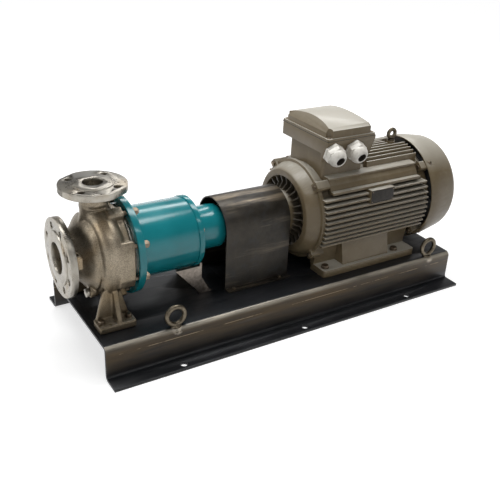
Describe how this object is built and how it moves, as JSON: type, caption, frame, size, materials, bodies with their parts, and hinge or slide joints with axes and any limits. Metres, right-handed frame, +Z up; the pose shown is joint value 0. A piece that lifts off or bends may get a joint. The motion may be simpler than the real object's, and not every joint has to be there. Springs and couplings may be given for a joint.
{
  "type": "magnetic drive pump set",
  "caption": "Centrifugal pump with sealed magnetic drive, coupling guard and finned motor on a bent sheet base.",
  "frame": {"origin": "middle of the anchor hole pattern, on the underside of the base", "axes": "+X along the shaft line from the suction flange to the motor fan, +Y to the left seen along +X, +Z up"},
  "size_m": [1.191, 0.48, 0.5205],
  "materials": {
    "base_black": "worn black coating",
    "eye_steel": "bare steel with weld",
    "bracket_steel": "bare cut steel sheet",
    "cast_stainless": "blasted stainless casting",
    "stainless": "machined stainless",
    "zinc_steel": "zinc plated",
    "carbide": "lapped ceramic",
    "magnet": "nickel plated magnets",
    "teal_paint": "gloss teal paint",
    "bearing_steel": "ground steel",
    "shaft_steel": "turned steel",
    "guard_steel": "mill scale",
    "hub_iron": "turned cast iron",
    "spider_red": "elastomer",
    "seal_rubber": "rubber",
    "gasket_grey": "flat gasket",
    "motor_grey": "satin stone grey paint",
    "core_steel": "laminated steel",
    "winding_copper": "varnished copper",
    "fan_plastic": "moulded plastic",
    "block_plastic": "moulded plastic",
    "gland_plastic": "pale plastic",
    "plate_dark": "dark anodised plate"
  },
  "bodies": {
    "static": {"base_frame": "base_black", "lifting_eyes": "eye_steel", "base_nuts": "zinc_steel", "volute_casing": "cast_stainless", "drain_plug": "stainless", "casing_gasket": "gasket_grey", "casing_cover": "stainless", "bearing_holder": "stainless", "bearing_holder_screws": "stainless", "bearing_bushes": "carbide", "containment_shell": "stainless", "casing_studs": "zinc_steel", "casing_nuts": "zinc_steel", "lantern": "teal_paint", "drive_bearing_outer_rings": "bearing_steel", "bearing_spacer": "shaft_steel", "bearing_housing": "teal_paint", "shaft_seal": "seal_rubber", "bearing_housing_bolts": "zinc_steel", "support_bracket": "bracket_steel", "bracket_bolts": "zinc_steel", "pump_foot_bolts": "zinc_steel", "coupling_guard": "guard_steel", "guard_bolts": "zinc_steel", "motor_frame": "motor_grey", "drive_end_shield": "motor_grey", "fan_end_shield": "motor_grey", "end_shield_bolts": "zinc_steel", "stator_core": "core_steel", "stator_windings": "winding_copper", "motor_bearing_outer_rings": "bearing_steel", "fan_cowl": "motor_grey", "cowl_screws": "zinc_steel", "terminal_box": "motor_grey", "terminal_lid_gasket": "gasket_grey", "terminal_lid": "motor_grey", "terminal_lid_screws": "zinc_steel", "terminal_block": "block_plastic", "cable_gland_bodies": "gland_plastic", "cable_gland_nuts": "gland_plastic", "motor_eyebolt": "eye_steel", "rating_plate": "plate_dark", "motor_foot_bolts": "zinc_steel"},
    "motor_rotor": {"motor_shaft": "shaft_steel", "rotor_core": "core_steel", "motor_bearing_inner_rings": "bearing_steel", "cooling_fan": "fan_plastic", "motor_coupling_hub": "hub_iron", "coupling_spider": "spider_red"},
    "drive_line": {"drive_shaft": "shaft_steel", "outer_magnet_rotor": "shaft_steel", "outer_magnets": "magnet", "drive_bearing_inner_rings": "bearing_steel", "pump_coupling_hub": "hub_iron"},
    "impeller_line": {"impeller": "stainless", "pump_shaft": "stainless", "pump_shaft_nuts": "stainless", "shaft_sleeve": "carbide", "inner_magnet_rotor": "stainless", "inner_magnets": "magnet"}
  },
  "joints": [
    {"name": "motor_rotor_spin", "type": "hinge", "parent": "static", "child": "motor_rotor", "pos_m": [0.019, 0, 0.252], "axis": [1, 0, 0], "continuous": true},
    {"name": "drive_line_spin", "type": "hinge", "parent": "static", "child": "drive_line", "pos_m": [-0.196, 0, 0.252], "axis": [1, 0, 0], "continuous": true},
    {"name": "impeller_line_spin", "type": "hinge", "parent": "static", "child": "impeller_line", "pos_m": [-0.406, 0, 0.252], "axis": [1, 0, 0], "continuous": true}
  ],
  "couplings": [
    {"joint": "drive_line_spin", "follows": "motor_rotor_spin", "ratio": 1},
    {"joint": "impeller_line_spin", "follows": "motor_rotor_spin", "ratio": 1}
  ]
}
